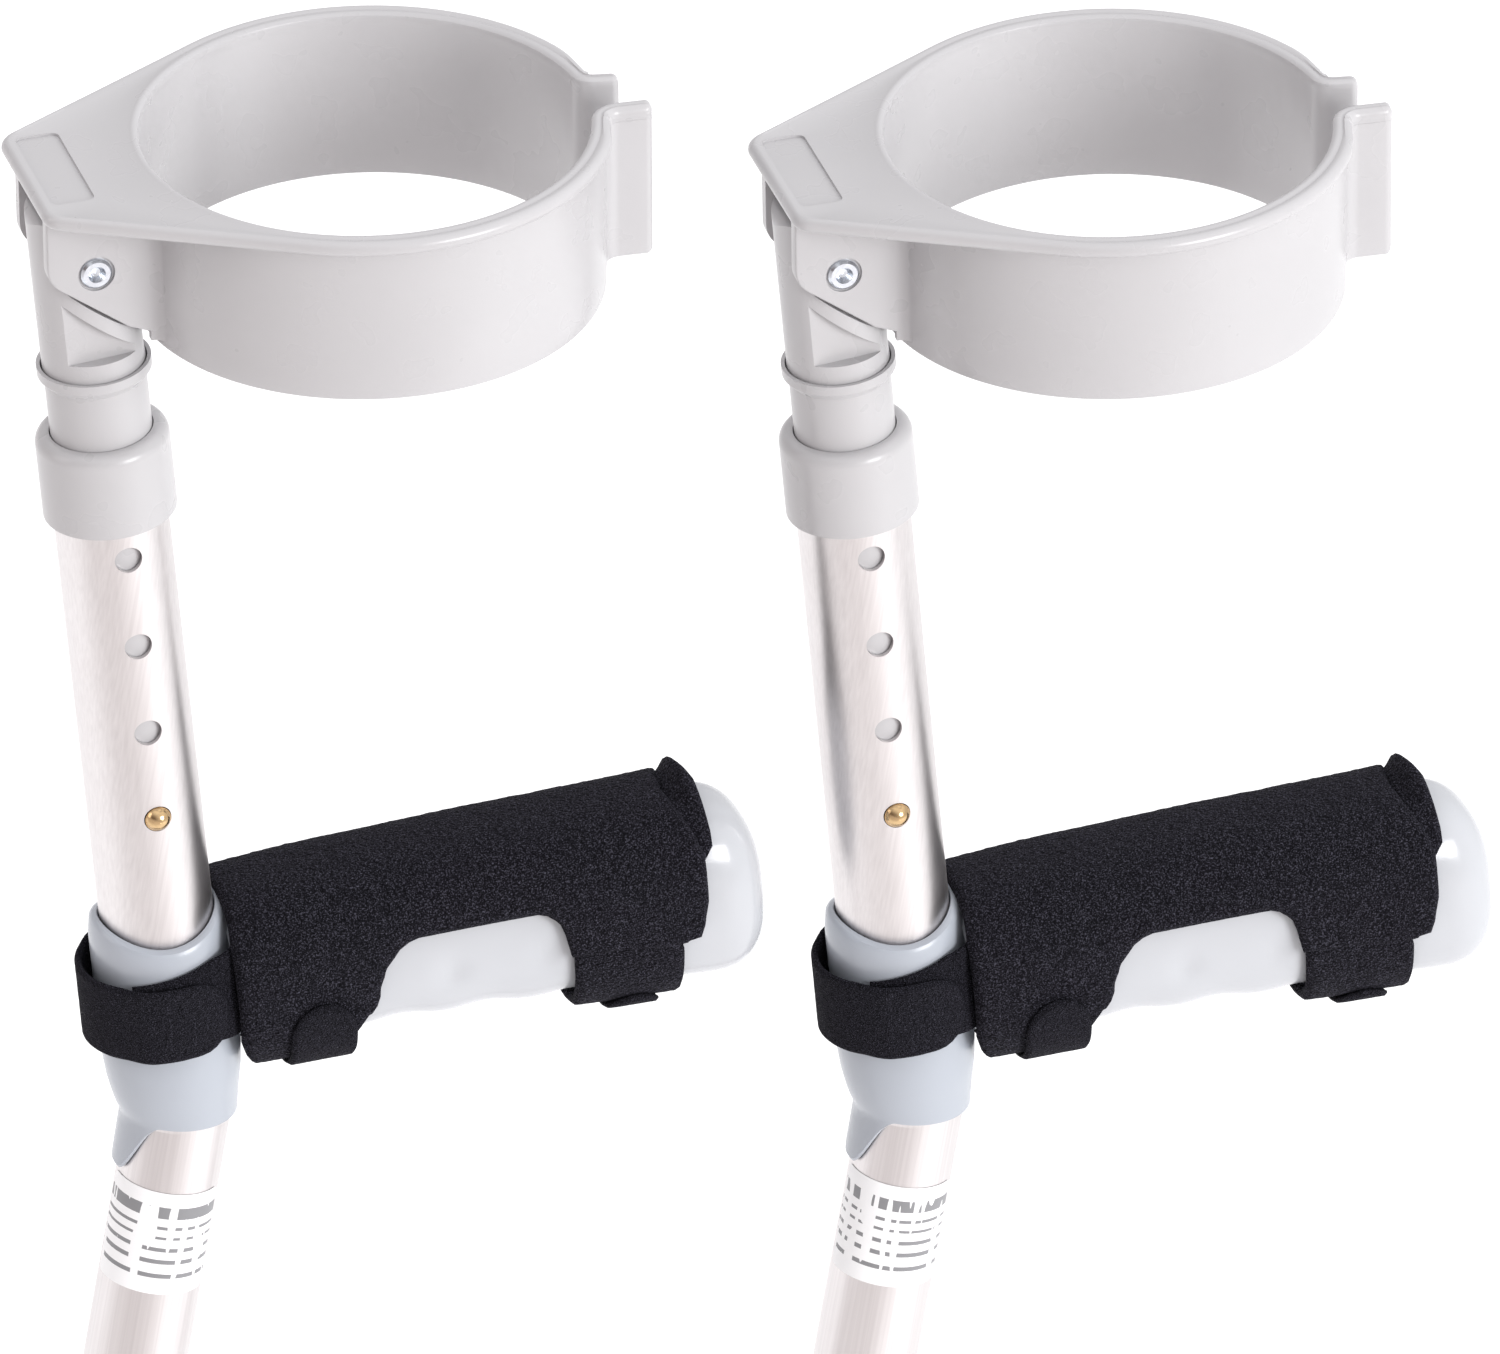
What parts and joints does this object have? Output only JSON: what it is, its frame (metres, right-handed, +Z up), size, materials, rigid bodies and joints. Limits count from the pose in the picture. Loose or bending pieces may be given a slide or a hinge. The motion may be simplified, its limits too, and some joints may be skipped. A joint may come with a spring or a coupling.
{
  "type": "forearm crutches",
  "caption": "Pair of adjustable aluminium forearm crutches with open arm cuffs, forward hand grips in padded fabric covers, snap-button height adjustment and rubber feet.",
  "frame": {"origin": "middle of the left crutch's rubber foot, on the floor", "axes": "+Z up along the legs, +X forward along the hand grips, the right crutch beside the left one along +X, -Y the side with the adjustment holes"},
  "size_m": [0.42, 0.126, 1.1088],
  "materials": {
    "cuff_plastic": "satin moulded",
    "hub_plastic": "smooth moulded",
    "grip_plastic": "smooth moulded",
    "tube_alloy": "satin anodised",
    "rivet_steel": "zinc plated",
    "button_brass": "polished",
    "spring_steel": "blued",
    "cover_fabric": "terry loop",
    "strap_fabric": "brushed hook-and-loop",
    "label_paper": "matt printed film, blank",
    "foot_rubber": "moulded"
  },
  "bodies": {
    "left_frame": {"left_leg_tube": "tube_alloy", "left_upper_tube": "tube_alloy", "left_tube_collar": "cuff_plastic", "left_leg_collar": "cuff_plastic", "left_handle_hub": "hub_plastic", "left_hub_pin": "rivet_steel", "left_hand_grip": "grip_plastic", "left_grip_cover": "cover_fabric", "left_cover_hook_tabs": "strap_fabric", "left_hub_strap": "strap_fabric", "left_tube_label": "label_paper"},
    "left_post": {"left_post_tube": "cuff_plastic", "left_pivot_head": "cuff_plastic", "left_post_button_spring": "spring_steel"},
    "left_cuff_body": {"left_cuff": "cuff_plastic", "left_pivot_rivet": "rivet_steel"},
    "left_post_button_body": {"left_post_button": "button_brass"},
    "left_leg": {"left_leg_extension": "tube_alloy", "left_ferrule": "foot_rubber", "left_ferrule_washer": "rivet_steel", "left_leg_button_spring": "spring_steel"},
    "left_leg_button_body": {"left_leg_button": "button_brass"},
    "right_frame": {"right_leg_tube": "tube_alloy", "right_upper_tube": "tube_alloy", "right_tube_collar": "cuff_plastic", "right_leg_collar": "cuff_plastic", "right_handle_hub": "hub_plastic", "right_hub_pin": "rivet_steel", "right_hand_grip": "grip_plastic", "right_grip_cover": "cover_fabric", "right_cover_hook_tabs": "strap_fabric", "right_hub_strap": "strap_fabric", "right_tube_label": "label_paper"},
    "right_post": {"right_post_tube": "cuff_plastic", "right_pivot_head": "cuff_plastic", "right_post_button_spring": "spring_steel"},
    "right_cuff_body": {"right_cuff": "cuff_plastic", "right_pivot_rivet": "rivet_steel"},
    "right_post_button_body": {"right_post_button": "button_brass"},
    "right_leg": {"right_leg_extension": "tube_alloy", "right_ferrule": "foot_rubber", "right_ferrule_washer": "rivet_steel", "right_leg_button_spring": "spring_steel"},
    "right_leg_button_body": {"right_leg_button": "button_brass"}
  },
  "joints": [
    {"name": "left_post_slide", "type": "slide", "parent": "left_frame", "child": "left_post", "axis": [-0.2554, 0, 0.9668], "range_m": [0, 0.075], "deforming": ["left_post_button"]},
    {"name": "left_cuff_pivot", "type": "hinge", "parent": "left_post", "child": "left_cuff_body", "pos_m": [-0.06394, 0, 1.062], "axis": [0, -1, 0], "range_deg": [0, 20]},
    {"name": "left_post_button_press", "type": "slide", "parent": "left_post", "child": "left_post_button_body", "axis": [0, 1, 0], "range_m": [0, 0.0045], "stiffness_N_per_m": 1500, "springref_m": -0.002, "deforming": ["left_post_button_spring"]},
    {"name": "left_leg_slide", "type": "slide", "parent": "left_frame", "child": "left_leg", "axis": [0, 0, -1], "range_m": [-0.125, 0.1], "deforming": ["left_leg_button"]},
    {"name": "left_leg_button_press", "type": "slide", "parent": "left_leg", "child": "left_leg_button_body", "axis": [0, 1, 0], "range_m": [0, 0.0045], "stiffness_N_per_m": 1500, "springref_m": -0.002, "deforming": ["left_leg_button_spring"]},
    {"name": "right_post_slide", "type": "slide", "parent": "right_frame", "child": "right_post", "axis": [-0.2554, 0, 0.9668], "range_m": [0, 0.075], "deforming": ["right_post_button"]},
    {"name": "right_cuff_pivot", "type": "hinge", "parent": "right_post", "child": "right_cuff_body", "pos_m": [0.13106, 0.003, 1.062], "axis": [0, -1, 0], "range_deg": [0, 20]},
    {"name": "right_post_button_press", "type": "slide", "parent": "right_post", "child": "right_post_button_body", "axis": [0, 1, 0], "range_m": [0, 0.0045], "stiffness_N_per_m": 1500, "springref_m": -0.002, "deforming": ["right_post_button_spring"]},
    {"name": "right_leg_slide", "type": "slide", "parent": "right_frame", "child": "right_leg", "axis": [0, 0, -1], "range_m": [-0.125, 0.1], "deforming": ["right_leg_button"]},
    {"name": "right_leg_button_press", "type": "slide", "parent": "right_leg", "child": "right_leg_button_body", "axis": [0, 1, 0], "range_m": [0, 0.0045], "stiffness_N_per_m": 1500, "springref_m": -0.002, "deforming": ["right_leg_button_spring"]},
    {"name": "pair_spacing", "type": "slide", "parent": "left_frame", "child": "right_frame", "axis": [1, 0, 0], "range_m": [0, 0.3]}
  ]
}
